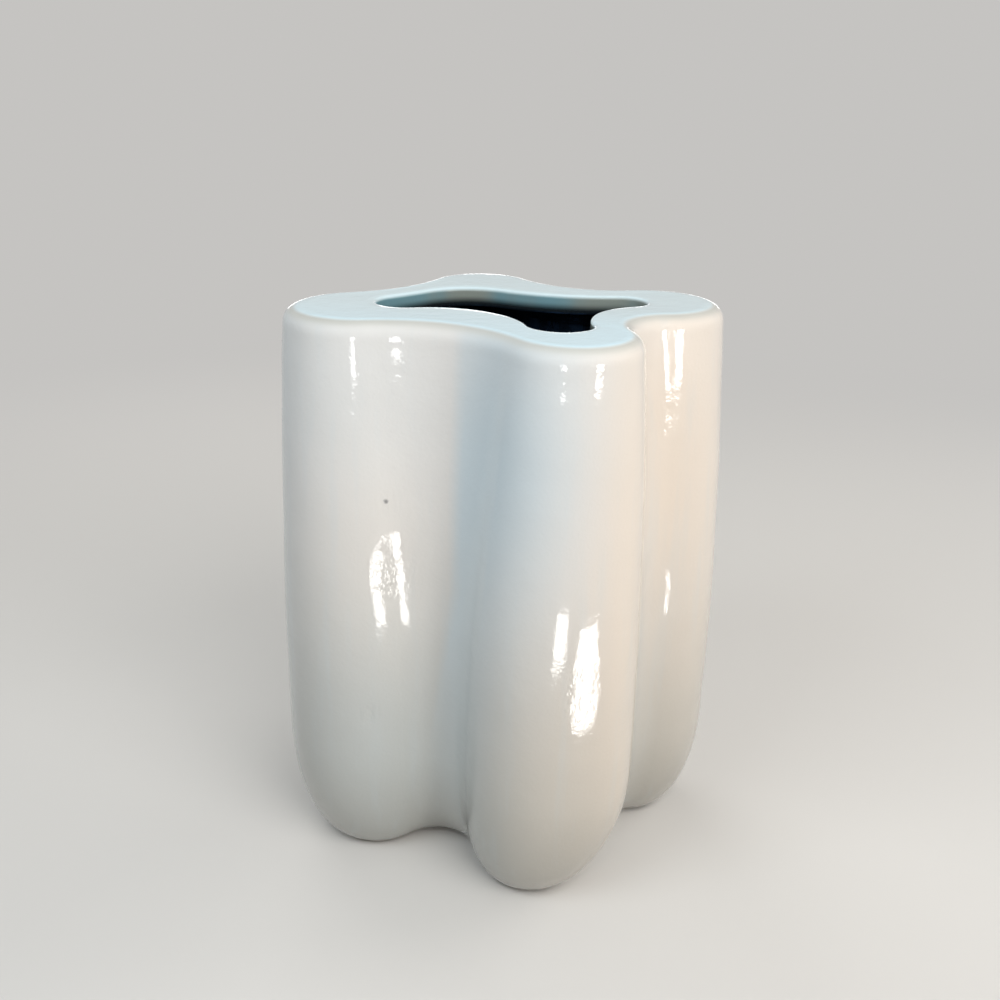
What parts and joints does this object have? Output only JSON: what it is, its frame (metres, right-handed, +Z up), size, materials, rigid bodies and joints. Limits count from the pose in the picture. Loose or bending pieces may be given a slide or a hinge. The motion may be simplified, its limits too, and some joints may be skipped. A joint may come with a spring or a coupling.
{
  "type": "vase",
  "caption": "Upright ceramic vase with soft rounded lobes round a cross-shaped mouth, hand-built from clay slabs, pale gloss glaze, dark inside.",
  "frame": {"origin": "middle of the vase's footprint box, on the surface that it stands on", "axes": "+Z up, +X to the right lobe, -Y to the front lobe"},
  "size_m": [0.1809, 0.1481, 0.23],
  "materials": {
    "clay": "bare fired stoneware, matte",
    "side_glaze": "gloss, pale warm white",
    "top_glaze": "gloss, pale aqua",
    "liner_glaze": "gloss, near black"
  },
  "bodies": {
    "root": {"base_slab": "clay", "left_wall": "clay", "front_wall": "clay", "right_wall": "clay", "back_wall": "clay", "top_slab": "clay", "base_coil": "clay", "top_coil": "clay", "side_glaze": "side_glaze", "top_glaze": "top_glaze", "liner_glaze": "liner_glaze"}
  },
  "joints": []
}
